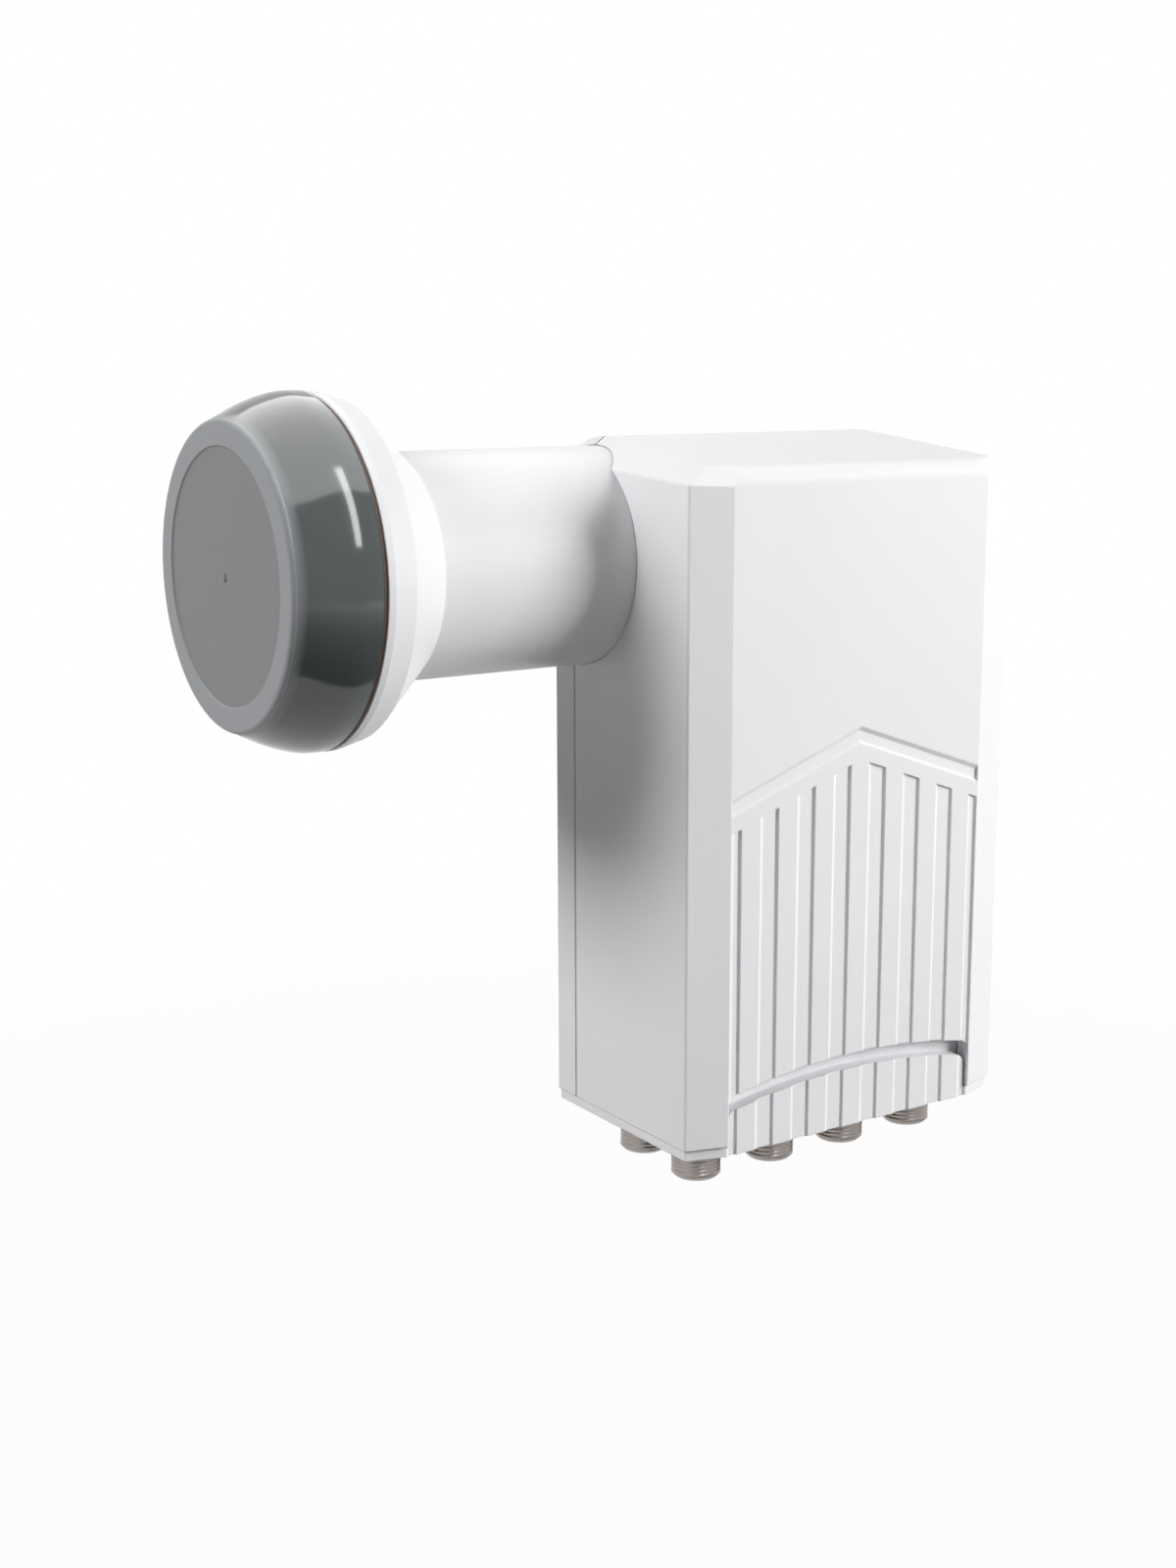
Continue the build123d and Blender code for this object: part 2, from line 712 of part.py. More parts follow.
chassis -= lathe(
    [
        (0, horn_front_y),
        (horn_mouth_radius, horn_front_y),
        (guide_radius, throat_y),
        (guide_radius, guide_short_y),
        (0, guide_short_y),
    ]
)
chassis -= lathe(
    [
        (horn_groove_inner, horn_front_y),
        (horn_groove_outer, horn_front_y),
        (horn_groove_outer, horn_front_y + horn_groove_depth),
        (horn_groove_inner, horn_front_y + horn_groove_depth),
    ]
)
lid_hole_x = chassis_depth - lid_screw_length - overcut
for y, z in lid_screw_spots:
    chassis -= rod_x(lid_hole_x, chassis_depth + overcut, y, z, lid_screw_radius + slip)
hole_depth = board_screw_length + loose
for y, z in rf_screw_spots:
    chassis -= rod_x(rf_board_back - hole_depth, rf_board_back + overcut, y, z, board_screw_radius + slip)
switch_hole_x = switch_board_back - hole_depth
for y, z in switch_screw_spots:
    chassis -= rod_x(switch_hole_x, switch_board_back + overcut, y, z, board_screw_radius + slip)
for x, y in port_spots:
    chassis -= rod_z(tray_floor_z - overcut, tray_ceiling_z + overcut, x, y, port_shank_radius + slip)

# Probes reach into the guide through insulating bushes, with a rod between them
probe_v_y = guide_short_y - probe_v_set
probe_h_y = probe_v_y - probe_spacing
rod_place_y = (probe_h_y + probe_v_y) / 2
probe_tip = guide_radius - probe_reach
probe_end_x = board_face_x + rf_board_thickness / 2
elbow_z = -guide_outer - elbow_drop
bush_end = -guide_outer - bush_radius
pocket = bush_radius + loose
chassis -= rod_x(probe_tip, rf_board_back, probe_h_y, 0, bush_radius + slip)
chassis -= rod_z(bush_end, -probe_tip, 0, probe_v_y, bush_radius + slip)
pocket_y0 = probe_v_y - pocket
pocket_y1 = probe_v_y + pocket
chassis -= block(-chassis_back_wall / 2, overcut, pocket_y0, pocket_y1, elbow_z - pocket, bush_end)
chassis -= rod_x(-2 * guide_outer, 2 * guide_outer, rod_place_y, 0, isolation_radius + slip)
export_step(chassis, "parts/chassis.step")
probe_horizontal = rod_x(probe_tip, probe_end_x, probe_h_y, 0, probe_radius)
export_step(probe_horizontal, "parts/probe_horizontal.step")
probe_vertical = rod_z(elbow_z, -probe_tip, 0, probe_v_y, probe_radius)
probe_vertical += rod_x(0, probe_end_x, probe_v_y, elbow_z, probe_radius)
probe_vertical += Pos(0, probe_v_y, elbow_z) * Sphere(probe_radius)
export_step(probe_vertical, "parts/probe_vertical.step")
bush_h = rod_x(guide_radius, rf_board_back, probe_h_y, 0, bush_radius)
bush_h -= rod_x(guide_radius, rf_board_back, probe_h_y, 0, probe_radius + slip)
bush_v = rod_z(bush_end, -guide_radius, 0, probe_v_y, bush_radius)
bush_v -= rod_z(bush_end, -guide_radius, 0, probe_v_y, probe_radius + slip)
export_step(Compound(children=[bush_h, bush_v]), "parts/probe_bushes.step")
isolation_rod = rod_x(-guide_outer + loose, guide_outer - loose, rod_place_y, 0, isolation_radius)
export_step(isolation_rod, "parts/isolation_rod.step")

# Gasket and lid over the tray; the lid carries the compartment walls
lid_gasket = tray_outline(chassis_depth, gasket_x, 0) - tray_outline(chassis_depth, gasket_x, chassis_wall)
export_step(lid_gasket, "parts/lid_gasket.step")
lid = tray_outline(gasket_x, lid_x, 0)
bay_levels = [shield_top_z + bay_half + i * bay_height for i in range(3)]
bay_y0 = body_mid_y - bay_half
bay_y1 = body_mid_y + bay_half
half_rib = lid_rib / 2
for y in (bay_y0, bay_y1):
    lid += block(board_face_x, gasket_x, y - half_rib, y + half_rib, bay_levels[0], bay_levels[-1])
for z in bay_levels:
    lid += block(board_face_x, gasket_x, bay_y0 - half_rib, bay_y1 + half_rib, z - half_rib, z + half_rib)
lid_screws = []
for y, z in lid_screw_spots:
    place = Pos(lid_x - lid_head_depth / 2, y, z) * Rot(0, 90, 0)
    head = place * Cone(lid_screw_radius, lid_head_radius, lid_head_depth)
    shank = rod_x(chassis_depth - lid_screw_length, lid_x - lid_head_depth, y, z, lid_screw_radius)
    lid_screws.append(head + shank)
    seat = place * Cone(lid_screw_radius + slip, lid_head_radius + slip, lid_head_depth)
    lid -= seat + rod_x(gasket_x - overcut, lid_x - lid_head_depth / 2, y, z, lid_screw_radius + slip)
export_step(lid, "parts/chassis_lid.step")
export_step(Compound(children=lid_screws), "parts/lid_screws.step")


def board_screws(spots, back_x):
    """Screws that hold a board on its posts."""
    screws = []
    for y, z in spots:
        shank = rod_x(back_x - board_screw_length, board_face_x, y, z, board_screw_radius)
        screws.append(shank + rod_x(board_face_x, board_face_x + board_head_height, y, z, board_head_radius))
    return Compound(children=screws)


# Boards with their screws
board_hole_end = board_face_x + overcut
rf_board = block(rf_board_back, board_face_x, rf_y0, rf_y1, rf_z0, rf_z1)
for y, z in rf_screw_spots:
    rf_board -= rod_x(rf_board_back - overcut, board_hole_end, y, z, board_screw_radius + slip)
for y, z in ((probe_h_y, 0), (probe_v_y, elbow_z)):
    rf_board -= rod_x(rf_board_back - overcut, board_hole_end, y, z, probe_radius + slip)
export_step(rf_board, "parts/rf_board.step")
export_step(board_screws(rf_screw_spots, rf_board_back), "parts/rf_board_screws.step")
switch_board = block(switch_board_back, board_face_x, switch_y0, switch_y1, switch_z0, switch_z1)
for y, z in switch_screw_spots:
    switch_board -= rod_x(switch_board_back - overcut, board_hole_end, y, z, board_screw_radius + slip)
export_step(switch_board, "parts/switch_board.step")
export_step(board_screws(switch_screw_spots, switch_board_back), "parts/switch_board_screws.step")


def chip(y, z, width, length, height):
    """Flat package standing on the board face."""
    return Pos(board_face_x + height / 2, y, z) * Box(height, width, length)


def can(y, z, radius, height):
    """Round component standing on the board face."""
    return rod_x(board_face_x, board_face_x + height, y, z, radius)


# Parts on the boards
resonator_z = (bay_levels[1] + bay_levels[2]) / 2
resonator_spots = (body_mid_y - resonator_half, body_mid_y + resonator_half)
resonators = [can(y, resonator_z, resonator_radius, resonator_height) for y in resonator_spots]
export_step(Compound(children=resonators), "parts/resonators.step")
transistor_top = chassis_top_z - transistor_drop
transistors = []
for y in (body_mid_y - transistor_half, body_mid_y + transistor_half):
    for z in (transistor_top, transistor_top - transistor_pitch):
        transistors.append(chip(y, z, transistor_size, transistor_size, transistor_height))
export_step(Compound(children=transistors), "parts/amplifier_transistors.step")
switch_mid_z = (switch_levels[0] + switch_levels[1]) / 2
chip_spots = (body_mid_y - chip_half, body_mid_y + chip_half)
chips = [chip(y, switch_mid_z, chip_size, chip_size, chip_height) for y in chip_spots]
export_step(Compound(children=chips), "parts/switch_chips.step")
regulator_in = regulator_margin + regulator_width / 2
regulators = []
for y in (switch_y0 + regulator_in, switch_y1 - regulator_in):
    for z in (switch_levels[0] - regulator_drop, switch_levels[1] + regulator_rise):
        regulators.append(chip(y, z, regulator_width, regulator_length, regulator_height))
export_step(Compound(children=regulators), "parts/regulators.step")
capacitor_spots = (body_mid_y - port_pitch, body_mid_y + port_pitch)
capacitors = [can(y, switch_mid_z, capacitor_radius, capacitor_height) for y in capacitor_spots]
export_step(Compound(children=capacitors), "parts/storage_capacitors.step")
link_span = rf_z0 - switch_z1 + 2 * link_overlap
board_link = chip(body_mid_y, (rf_z0 + switch_z1) / 2, link_length, link_span, link_height)
export_step(board_link, "parts/board_link.step")

# Ports: flanged barrel, insulator, contact bent to the board, lock nut and seal
shank_top = tray_ceiling_z + nut_height + port_shank_end
mouth_z = port_end_z + port_mouth_depth
contact_z = switch_z0 + contact_set
insulators = []
contacts = []
nuts = []
seals = []
for number, (x, y) in enumerate(port_spots, start=1):
    barrel = rod_z(port_end_z, port_flange_z, x, y, port_radius)
    barrel = fillet(barrel.edges().sort_by(Axis.Z)[0], port_end_round)
    barrel += rod_z(port_flange_z, seal_z, x, y, port_flange_radius)
    barrel += rod_z(seal_z, shank_top, x, y, port_shank_radius)
    barrel -= rod_z(mouth_z, shank_top, x, y, port_bore_radius)
    barrel -= rod_z(port_end_z, mouth_z, x, y, port_mouth_radius)
    export_step(barrel, f"parts/port_{number}.step")
    insulator = rod_z(mouth_z, shank_top, x, y, port_bore_radius - slip)
    insulators.append(insulator - rod_z(mouth_z, shank_top, x, y, contact_radius + slip))
    land_x = switch_board_back if x < board_face_x else board_face_x
    contact = rod_z(port_end_z + contact_sink, contact_z, x, y, contact_radius)
    contact += rod_x(min(x, land_x), max(x, land_x), y, contact_z, contact_radius)
    contacts.append(contact + Pos(x, y, contact_z) * Sphere(contact_radius))
    outline = RegularPolygon(nut_flat / 2, 6, major_radius=False)
    hexagon = extrude(Pos(x, y, tray_ceiling_z) * outline, amount=nut_height)
    nuts.append(hexagon - rod_z(tray_ceiling_z, tray_ceiling_z + nut_height, x, y, port_shank_radius + slip))
    washer = rod_z(seal_z, tray_floor_z, x, y, port_flange_radius - loose)
    seals.append(washer - rod_z(seal_z, tray_floor_z, x, y, port_shank_radius + slip))
export_step(Compound(children=insulators), "parts/port_insulators.step")
export_step(Compound(children=contacts), "parts/port_contacts.step")
export_step(Compound(children=nuts), "parts/port_nuts.step")
export_step(Compound(children=seals), "parts/port_seals.step")
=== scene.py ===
import json
import math

import bpy
from mathutils import Matrix, Vector


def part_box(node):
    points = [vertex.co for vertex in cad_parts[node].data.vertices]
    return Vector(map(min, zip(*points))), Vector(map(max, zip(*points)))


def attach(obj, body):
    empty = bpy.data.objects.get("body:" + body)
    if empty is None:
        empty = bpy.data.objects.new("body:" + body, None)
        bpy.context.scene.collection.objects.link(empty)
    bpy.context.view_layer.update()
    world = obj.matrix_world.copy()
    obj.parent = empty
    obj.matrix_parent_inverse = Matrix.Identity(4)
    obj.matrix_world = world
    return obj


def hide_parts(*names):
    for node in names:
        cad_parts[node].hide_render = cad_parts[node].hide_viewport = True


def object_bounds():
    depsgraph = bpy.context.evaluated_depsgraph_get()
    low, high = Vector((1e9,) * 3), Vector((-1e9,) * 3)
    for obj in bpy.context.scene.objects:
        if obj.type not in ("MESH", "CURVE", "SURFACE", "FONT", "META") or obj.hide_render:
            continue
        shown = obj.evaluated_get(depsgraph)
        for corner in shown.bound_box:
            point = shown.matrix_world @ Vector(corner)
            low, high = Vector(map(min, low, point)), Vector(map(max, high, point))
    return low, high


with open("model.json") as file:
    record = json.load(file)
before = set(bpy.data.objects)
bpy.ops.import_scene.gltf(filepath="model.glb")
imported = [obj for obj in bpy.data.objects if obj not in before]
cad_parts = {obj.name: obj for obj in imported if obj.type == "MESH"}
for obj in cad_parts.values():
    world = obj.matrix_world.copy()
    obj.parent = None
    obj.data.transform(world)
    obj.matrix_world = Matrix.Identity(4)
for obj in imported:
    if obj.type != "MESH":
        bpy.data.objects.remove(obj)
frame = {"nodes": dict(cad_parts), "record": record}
cad_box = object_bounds()
nodes = frame["nodes"]

# Lengths in metres, angles in degrees
MM = 0.001

# Camera of the photograph
camera_place = Vector((324.475, -193.64, 35.456)) * MM
camera_azimuth = 56.37
camera_elevation = 11.42
camera_roll = -0.17
camera_lens_mm = 48.26
camera_sensor_mm = 36.0
camera_clip = 10 * MM

# Floor and background
middle = (cad_box[0] + cad_box[1]) / 2
floor_drop = 29 * MM
floor_z = cad_box[0].z - floor_drop
floor_half = 3.0
floor_tone = 0.2
floor_mottle = 100 * MM
shade_radius = 0.35
shade_share = 0.03
ambient = 0.01
stage_roughness = 0.9

# Grey card that lies on the floor beside the ribbed face
card_reach = (75 * MM, 600 * MM)
card_half = 350 * MM
card_lift = 1 * MM
card_near_tone = 0.12
card_far_tone = 0.6
card_mottle = 50 * MM
card_glow = 0.7

# Lamps that light the object, and lamps that its surfaces only mirror
lamp_distance = 1.0
lamps = {
    "key_light": {"azimuth": 132.0, "elevation": 19.0, "width": 0.5, "height": 0.7, "watts": 12.0},
    "side_light": {"azimuth": -5.0, "elevation": 30.0, "width": 0.5, "height": 0.35, "watts": 7.7},
    "back_light": {"azimuth": 248.0, "elevation": 12.0, "width": 0.6, "height": 0.4, "watts": 5.0},
}
mirrored_lamps = {
    "ceiling_light": {"azimuth": 270.0, "elevation": 80.0, "width": 1.6, "height": 2.0, "watts": 24.0},
    "strip_light": {"azimuth": 88.0, "elevation": 46.0, "width": 0.14, "height": 0.9, "watts": 3.4},
}

# Port barrels and their thread
port_count = 8
port_reach = 10.4 * MM
port_floor_recess = 2.9 * MM
port_flange_top = 0.6 * MM
port_flange_height = 1.4 * MM
port_flange_radius = 6.0 * MM
port_shank_radius = 3.2 * MM
port_bore_radius = 2.25 * MM
port_mouth_radius = 1.8 * MM
port_mouth_depth = 1.0 * MM
port_segments = 64
port_sharp_angle = 35.0
thread_radius = 4.68 * MM
thread_pitch = 0.794 * MM
thread_depth = 0.22 * MM
thread_lead = 0.6 * MM
thread_rows_per_turn = 6


class Finish:
    """A material with one surface shader, built node by node."""

    def __init__(self, name):
        self.material = bpy.data.materials.new(name)
        self.material.use_nodes = True
        self.tree = self.material.node_tree
        self.tree.nodes.clear()
        self.shader = self.tree.nodes.new("ShaderNodeBsdfPrincipled")
        self.output = self.tree.nodes.new("ShaderNodeOutputMaterial")
        self.link(self.shader.outputs["BSDF"], self.output.inputs["Surface"])
        self.place = self.tree.nodes.new("ShaderNodeTexCoord").outputs["Object"]

    def link(self, source, target):
        self.tree.links.new(source, target)

    def set(self, **values):
        """Constants of the surface shader, by the names of its sockets."""
        for name, value in values.items():
            self.shader.inputs[name.replace("_", " ").title().replace("Ior", "IOR")].default_value = value

    def coordinates(self):
        """Node whose outputs X, Y and Z are the place on the object."""
        parts = self.tree.nodes.new("ShaderNodeSeparateXYZ")
        self.link(self.place, parts.inputs["Vector"])
        return parts

    def noise(self, feature, detail=2.0, stretch=(1, 1, 1)):
        """Noise from 0 to 1 with features of about that length in metres."""
        mapping = self.tree.nodes.new("ShaderNodeMapping")
        mapping.inputs["Scale"].default_value = stretch
        self.link(self.place, mapping.inputs["Vector"])
        texture = self.tree.nodes.new("ShaderNodeTexNoise")
        texture.inputs["Scale"].default_value = 1 / feature
        texture.inputs["Detail"].default_value = detail
        self.link(mapping.outputs["Vector"], texture.inputs["Vector"])
        return texture.outputs["Fac"]

    def math(self, operation, a, b=None):
        """Result of a calculation on one or two values, each a number or a socket."""
        node = self.tree.nodes.new("ShaderNodeMath")
        node.operation = operation
        for socket, value in zip(node.inputs, (a, b)):
            if isinstance(value, bpy.types.NodeSocket):
                self.link(value, socket)
            elif value is not None:
                socket.default_value = value
        return node.outputs["Value"]

    def spread(self, value, low, high):
        """A value from 0 to 1 mapped on a range."""
        node = self.tree.nodes.new("ShaderNodeMapRange")
        node.inputs["To Min"].default_value = low
        node.inputs["To Max"].default_value = high
        self.link(value, node.inputs["Value"])
        return node.outputs["Result"]

    def step(self, value, start, end):
        """0 below start, 1 above end and smooth between."""
        node = self.tree.nodes.new("ShaderNodeMapRange")
        node.interpolation_type = "SMOOTHSTEP"
        node.inputs["From Min"].default_value = start
        node.inputs["From Max"].default_value = end
        self.link(value, node.inputs["Value"])
        return node.outputs["Result"]

    def mix(self, share, a, b):
        """Colour between a and b."""
        node = self.tree.nodes.new("ShaderNodeMix")
        node.data_type = "RGBA"
        self.link(share, node.inputs["Factor"])
        for name, value in (("A", a), ("B", b)):
            socket = [s for s in node.inputs if s.name == name and s.type == "RGBA"][0]
            if isinstance(value, bpy.types.NodeSocket):
                self.link(value, socket)
            else:
                socket.default_value = (*value, 1)
        return [s for s in node.outputs if s.type == "RGBA"][0]

    def tone(self, colour, amount, feature):
        """Colour that drifts a little lighter and darker over the surface."""
        dark = [c * (1 - amount) for c in colour]
        light = [min(1, c * (1 + amount)) for c in colour]
        return self.mix(self.noise(feature), dark, light)

    def paint(self, colour):
        self.link(colour, self.shader.inputs["Base Color"])

    def gloss(self, roughness):
        self.link(roughness, self.shader.inputs["Roughness"])

    def relief(self, height, distance, edge=0.0):
        """Bump of that height in metres, over softened edges."""
        bump = self.tree.nodes.new("ShaderNodeBump")
        bump.inputs["Distance"].default_value = distance
        self.link(height, bump.inputs["Height"])
        if edge:
            soft = self.tree.nodes.new("ShaderNodeBevel")
            soft.samples = 6
            soft.inputs["Radius"].default_value = edge
            self.link(soft.outputs["Normal"], bump.inputs["Normal"])
        self.link(bump.outputs["Normal"], self.shader.inputs["Normal"])

    def radius_and_depth(self):
        """Distance from the horn axis, and place along it."""
        parts = self.coordinates()
        across = self.math("MULTIPLY", parts.outputs["X"], parts.outputs["X"])
        up = self.math("MULTIPLY", parts.outputs["Z"], parts.outputs["Z"])
        return self.math("SQRT", self.math("ADD", across, up)), parts.outputs["Y"]


def moulded(name, colour, roughness, edge=0.25 * MM, grain=0.15 * MM, rise=0.004 * MM):
    """Moulded plastic or rubber with a fine sparked grain and a slightly uneven tone."""
    tone_drift = 0.015
    tone_length = 22 * MM
    gloss_drift = 0.05
    gloss_length = 6 * MM
    finish = Finish(name)
    finish.paint(finish.tone(colour, tone_drift, tone_length))
    patches = finish.noise(gloss_length, 3)
    finish.gloss(finish.spread(patches, roughness - gloss_drift, roughness + gloss_drift))
    finish.relief(finish.noise(grain, 3), rise, edge)
    finish.set(ior=1.46)
    return finish.material


def metal(name, colour, roughness, grain, rise, stretch=(1, 1, 1)):
    """Bare or plated metal with fine tool or casting marks."""
    tone_drift = 0.06
    tone_length = 4 * MM
    gloss_drift = 0.08
    edge = 0.1 * MM
    finish = Finish(name)
    finish.paint(finish.tone(colour, tone_drift, tone_length))
    marks = finish.noise(grain, 3, stretch)
    finish.gloss(finish.spread(marks, roughness - gloss_drift, roughness + gloss_drift))
    finish.relief(marks, rise, edge)
    finish.set(metallic=1.0)
    return finish.material


def smoky_cap():
    """Grey translucent plastic: frosted window, a rim ring painted lighter (partly its own tone, partly
    painted sheen) and a glossy dark side.
    """
    disc_radius = 21.75 * MM
    disc_blend = 0.2 * MM
    rim_radius = 25.6 * MM
    rim_blend = 1.8 * MM
    front_blend = (0.6 * MM, 2.6 * MM)
    front_roughness = 0.5
    side_polish = 0.39
    grain_length = 0.2 * MM
    swell_length = 9 * MM
    swell_share = 9.0
    rise = 0.006 * MM
    front_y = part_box("feed_cap")[0].y
    finish = Finish("cap_smoky_grey")
    radius, depth = finish.radius_and_depth()
    past_rim = finish.step(radius, rim_radius, rim_radius + rim_blend)
    past_front = finish.step(depth, front_y + front_blend[0], front_y + front_blend[1])
    side = finish.math("MAXIMUM", past_rim, past_front)
    ring = finish.step(radius, disc_radius - disc_blend, disc_radius + disc_blend)
    window = finish.tone((0.166, 0.168, 0.173), 0.05, 0.7 * MM)
    # Rim ring colour lighter than the window: partly the rim's own tone, partly a painted sheen standing in
    # for its edge highlights
    rim_tone_and_painted_sheen = finish.tone((0.25, 0.259, 0.271), 0.03, 3 * MM)
    smoke = finish.tone((0.05, 0.06, 0.061), 0.15, 9 * MM)
    finish.paint(finish.mix(side, finish.mix(ring, window, rim_tone_and_painted_sheen), smoke))
    finish.gloss(finish.math("SUBTRACT", front_roughness, finish.math("MULTIPLY", side, side_polish)))
    grain = finish.math("MULTIPLY", finish.noise(grain_length, 2), finish.math("SUBTRACT", 1.0, side))
    swell = finish.math("MULTIPLY", finish.noise(swell_length, 1), swell_share)
    finish.relief(finish.math("ADD", grain, swell), rise)
    finish.set(ior=1.65)
    return finish.material


def circuit_board():
    """Green lacquer over copper tracks."""
    cell = 3.2 * MM
    track_rise = 0.03 * MM
    finish = Finish("board_lacquer")
    cells = finish.tree.nodes.new("ShaderNodeTexBrick")
    cells.inputs["Scale"].default_value = 1 / cell
    cells.inputs["Mortar Size"].default_value = 0.03
    turn = finish.tree.nodes.new("ShaderNodeMapping")
    turn.inputs["Rotation"].default_value = (0, math.radians(90), 0)
    finish.link(finish.place, turn.inputs["Vector"])
    finish.link(turn.outputs["Vector"], cells.inputs["Vector"])
    lacquer = finish.tone((0.02, 0.12, 0.045), 0.1, 5 * MM)
    finish.paint(finish.mix(cells.outputs["Fac"], lacquer, (0.05, 0.22, 0.08)))
    finish.gloss(finish.spread(finish.noise(2 * MM), 0.25, 0.4))
    finish.relief(cells.outputs["Fac"], track_rise)
    return finish.material


finishes = {
    "shell_white": moulded("shell_white", (0.80, 0.794, 0.812), 0.38),
    "cap_grey": smoky_cap(),
    "seal_brown": moulded("seal_brown", (0.2, 0.13, 0.1), 0.6, edge=0.05 * MM),
    "cast_alloy": metal("cast_alloy", (0.6, 0.6, 0.61), 0.45, 0.5 * MM, 0.02 * MM),
    "gasket_rubber": moulded("gasket_rubber", (0.03, 0.03, 0.032), 0.7, edge=0.1 * MM),
    "screw_steel": metal("screw_steel", (0.55, 0.55, 0.56), 0.35, 0.2 * MM, 0.005 * MM),
    "port_nickel": metal("port_nickel", (0.36, 0.325, 0.305), 0.34, 0.25 * MM, 0.004 * MM, (1, 1, 0.15)),
    "pin_brass": metal("pin_brass", (0.75, 0.55, 0.25), 0.3, 0.2 * MM, 0.004 * MM),
    "insulator_white": moulded("insulator_white", (0.78, 0.77, 0.73), 0.5, edge=0.1 * MM),
    "board_green": circuit_board(),
    "chip_black": moulded("chip_black", (0.02, 0.02, 0.021), 0.5, edge=0.1 * MM),
    "resonator_ceramic": moulded("resonator_ceramic", (0.55, 0.5, 0.42), 0.6, edge=0.15 * MM),
    "capacitor_can": metal("capacitor_can", (0.7, 0.7, 0.72), 0.25, 0.4 * MM, 0.003 * MM),
}
slot_of = {piece["node"]: piece["material_slot"] for piece in frame["record"]["subparts"]}


def dress(piece, slot):
    """Give a piece the finish of its material slot."""
    piece.data.materials.clear()
    piece.data.materials.append(finishes[slot])


def profile_ring(bottom, top):
    """Closed profile of a port as (radius, height, thread share) rows, thread rows among them."""
    thread_top = bottom + port_reach + port_floor_recess - port_flange_top - port_flange_height
    rows = [(port_mouth_radius, bottom + port_mouth_depth, 0), (port_mouth_radius, bottom, 0)]
    rows.append((thread_radius - thread_lead, bottom, 0))
    count = int((thread_top - bottom - thread_lead) / thread_pitch * thread_rows_per_turn)
    for i in range(count + 1):
        height = bottom + thread_lead + i * thread_pitch / thread_rows_per_turn
        share = min(1, i / thread_rows_per_turn, (count - i) / thread_rows_per_turn)
        rows.append((thread_radius, height, share))
    rows.append((thread_radius, thread_top, 0))
    rows.append((port_flange_radius, thread_top, 0))
    rows.append((port_flange_radius, thread_top + port_flange_height, 0))
    rows.append((port_shank_radius, thread_top + port_flange_height, 0))
    rows.append((port_shank_radius, top, 0))
    rows.append((port_bore_radius, top, 0))
    rows.append((port_bore_radius, bottom + port_mouth_depth, 0))
    return rows


def threaded_port(node):
    """Port barrel with its real cable thread, in place of the plain one."""
    low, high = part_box(node)
    centre = (low + high) / 2
    rows = profile_ring(low.z, high.z)
    points = []
    for radius, height, share in rows:
        for k in range(port_segments):
            turn = k / port_segments
            phase = ((height - low.z) / thread_pitch - turn) % 1
            groove = thread_depth * share * abs(2 * phase - 1)
            angle = 2 * math.pi * turn
            r = radius - groove
            points.append((centre.x + r * math.cos(angle), centre.y + r * math.sin(angle), height))
    faces = []
    for i in range(len(rows)):
        for k in range(port_segments):
            a = i * port_segments + k
            b = i * port_segments + (k + 1) % port_segments
            c = ((i + 1) % len(rows)) * port_segments + (k + 1) % port_segments
            d = ((i + 1) % len(rows)) * port_segments + k
            faces.append((a, b, c, d))
    mesh = bpy.data.meshes.new(node + "_threaded")
    mesh.from_pydata(points, [], faces)
    mesh.shade_smooth()
    mesh.set_sharp_from_angle(angle=math.radians(port_sharp_angle))
    piece = bpy.data.objects.new(node + "_threaded", mesh)
    bpy.context.scene.collection.objects.link(piece)
    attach(piece, "housing")
    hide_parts(node)
    dress(piece, "port_nickel")


def direction(azimuth, elevation):
    """Unit vector from the object towards a viewer or lamp at those angles."""
    a = math.radians(azimuth)
    e = math.radians(elevation)
    return Vector((math.sin(a) * math.cos(e), -math.cos(a) * math.cos(e), math.sin(e)))


def make_camera():
    """Camera at the photograph's place, looking along its azimuth, elevation and roll."""
    back = direction(camera_azimuth, camera_elevation)
    right = Vector((math.cos(math.radians(camera_azimuth)), math.sin(math.radians(camera_azimuth)), 0))
    up = back.cross(right)
    roll = math.radians(camera_roll)
    right_rolled = math.cos(roll) * right + math.sin(roll) * up
    up_rolled = math.cos(roll) * up - math.sin(roll) * right
    data = bpy.data.cameras.new("photo_camera")
    data.sensor_width = camera_sensor_mm
    data.lens = camera_lens_mm
    data.clip_start = camera_clip
    camera = bpy.data.objects.new("photo_camera", data)
    bpy.context.scene.collection.objects.link(camera)
    turn = Matrix((right_rolled, up_rolled, back)).transposed().to_4x4()
    camera.matrix_world = Matrix.Translation(camera_place) @ turn
    bpy.context.scene.camera = camera


def softbox(name, azimuth, elevation, width, height, watts):
    """Rectangular lamp at the lamp distance, facing the object."""
    towards = direction(azimuth, elevation)
    data = bpy.data.lights.new(name, "AREA")
    data.shape = "RECTANGLE"
    data.size = width
    data.size_y = height
    data.energy = watts
    lamp = bpy.data.objects.new(name, data)
    bpy.context.scene.collection.objects.link(lamp)
    lamp.location = middle + towards * lamp_distance
    lamp.rotation_mode = "QUATERNION"
    lamp.rotation_quaternion = towards.to_track_quat("Z", "Y")
    return lamp


def seen_directly(tree):
    """1 for rays of the camera, of reflections and of clear materials, 0 for light on the object."""
    rays = tree.nodes.new("ShaderNodeLightPath")
    total = rays.outputs["Is Camera Ray"]
    for name in ("Is Glossy Ray", "Is Transmission Ray"):
        node = tree.nodes.new("ShaderNodeMath")
        node.operation = "MAXIMUM"
        tree.links.new(total, node.inputs[0])
        tree.links.new(rays.outputs[name], node.inputs[1])
        total = node.outputs["Value"]
    return total


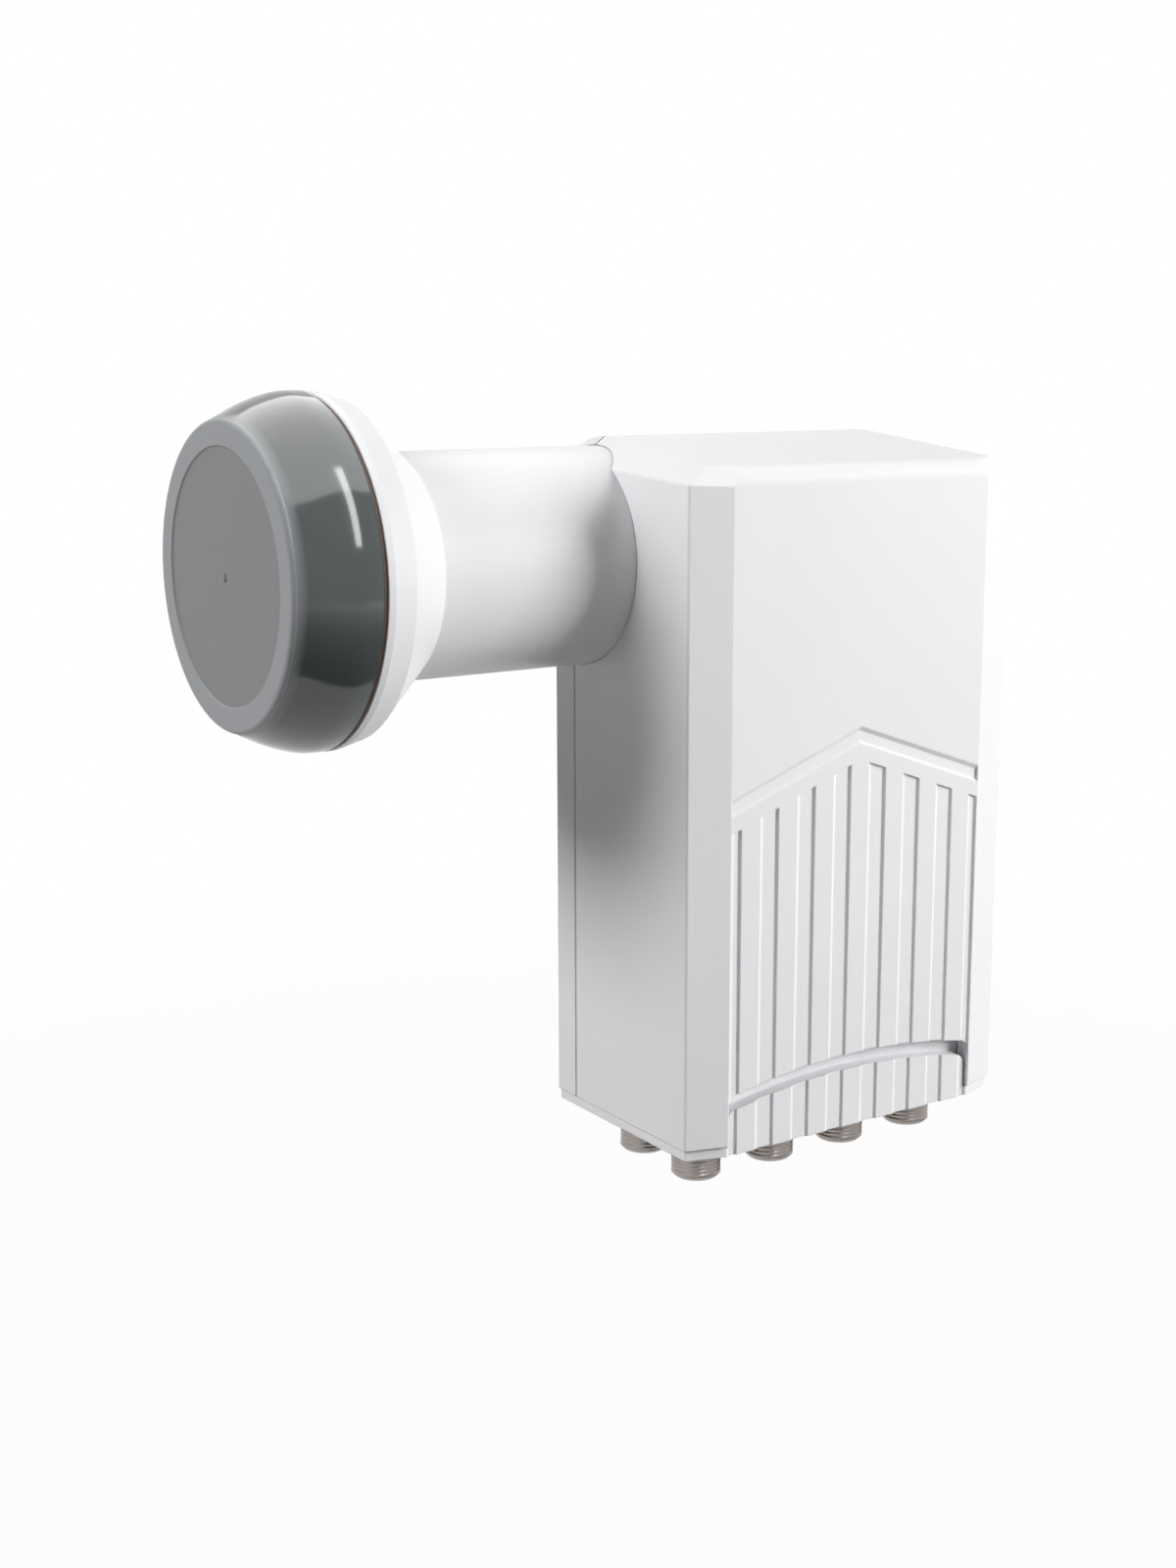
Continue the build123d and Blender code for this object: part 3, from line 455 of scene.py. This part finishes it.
def make_world():
    """White where it is seen, and faint as light on the object."""
    world = bpy.data.worlds.new("studio")
    bpy.context.scene.world = world
    world.use_nodes = True
    tree = world.node_tree
    background = tree.nodes["Background"]
    background.inputs["Color"].default_value = (1, 1, 1, 1)
    strength = tree.nodes.new("ShaderNodeMapRange")
    strength.inputs["To Min"].default_value = ambient
    tree.links.new(seen_directly(tree), strength.inputs["Value"])
    tree.links.new(strength.outputs["Result"], background.inputs["Strength"])


def stage_sheet(name, x, y, z):
    """Flat rectangle of the studio between two places in x and in y."""
    corners = [(x[0], y[0], z), (x[1], y[0], z), (x[1], y[1], z), (x[0], y[1], z)]
    mesh = bpy.data.meshes.new(name)
    mesh.from_pydata(corners, [], [(0, 1, 2, 3)])
    sheet = bpy.data.objects.new(name, mesh)
    bpy.context.scene.collection.objects.link(sheet)
    return sheet


def make_floor():
    """Pale floor that fades to the white background away from the object's shadow."""
    x = (middle.x - floor_half, middle.x + floor_half)
    y = (middle.y - floor_half, middle.y + floor_half)
    floor = stage_sheet("floor", x, y, floor_z)
    finish = Finish("floor_pale")
    finish.paint(finish.tone((floor_tone, floor_tone, floor_tone), 0.02, floor_mottle))
    finish.set(roughness=stage_roughness)
    glow = finish.tree.nodes.new("ShaderNodeEmission")
    blend = finish.tree.nodes.new("ShaderNodeMixShader")
    offset = finish.tree.nodes.new("ShaderNodeVectorMath")
    offset.operation = "DISTANCE"
    offset.inputs[1].default_value = (middle.x, middle.y, floor_z)
    finish.link(finish.place, offset.inputs[0])
    fade = finish.step(offset.outputs["Value"], shade_radius / 2, shade_radius)
    share = finish.spread(fade, 1 - shade_share, 1)
    finish.link(finish.math("MULTIPLY", share, seen_directly(finish.tree)), blend.inputs["Fac"])
    finish.link(finish.shader.outputs["BSDF"], blend.inputs[1])
    finish.link(glow.outputs["Emission"], blend.inputs[2])
    finish.link(blend.outputs["Shader"], finish.output.inputs["Surface"])
    floor.data.materials.append(finish.material)


def make_card():
    """Grey card hidden from the camera, dark near the object and about as bright as the floor further out."""
    y = (middle.y - card_half, middle.y + card_half)
    card = stage_sheet("grey_card", card_reach, y, floor_z + card_lift)
    card.visible_camera = False
    finish = Finish("card_grey")
    fade = finish.step(finish.coordinates().outputs["X"], *card_reach)
    near = finish.tone((card_near_tone, card_near_tone, card_near_tone), 0.05, card_mottle)
    finish.paint(finish.mix(fade, near, (card_far_tone, card_far_tone, card_far_tone)))
    finish.set(roughness=stage_roughness)
    glow = finish.math("MULTIPLY", finish.math("MULTIPLY", fade, card_glow), seen_directly(finish.tree))
    finish.link(glow, finish.shader.inputs["Emission Strength"])
    card.data.materials.append(finish.material)


for name, node in nodes.items():
    dress(node, slot_of[name])
for number in range(1, port_count + 1):
    threaded_port(f"port_{number}")
make_camera()
make_world()
make_floor()
make_card()
for name, lamp in lamps.items():
    softbox(name, **lamp).visible_glossy = False
for name, lamp in mirrored_lamps.items():
    softbox(name, **lamp).visible_diffuse = False
bpy.context.scene.view_settings.view_transform = "Standard"
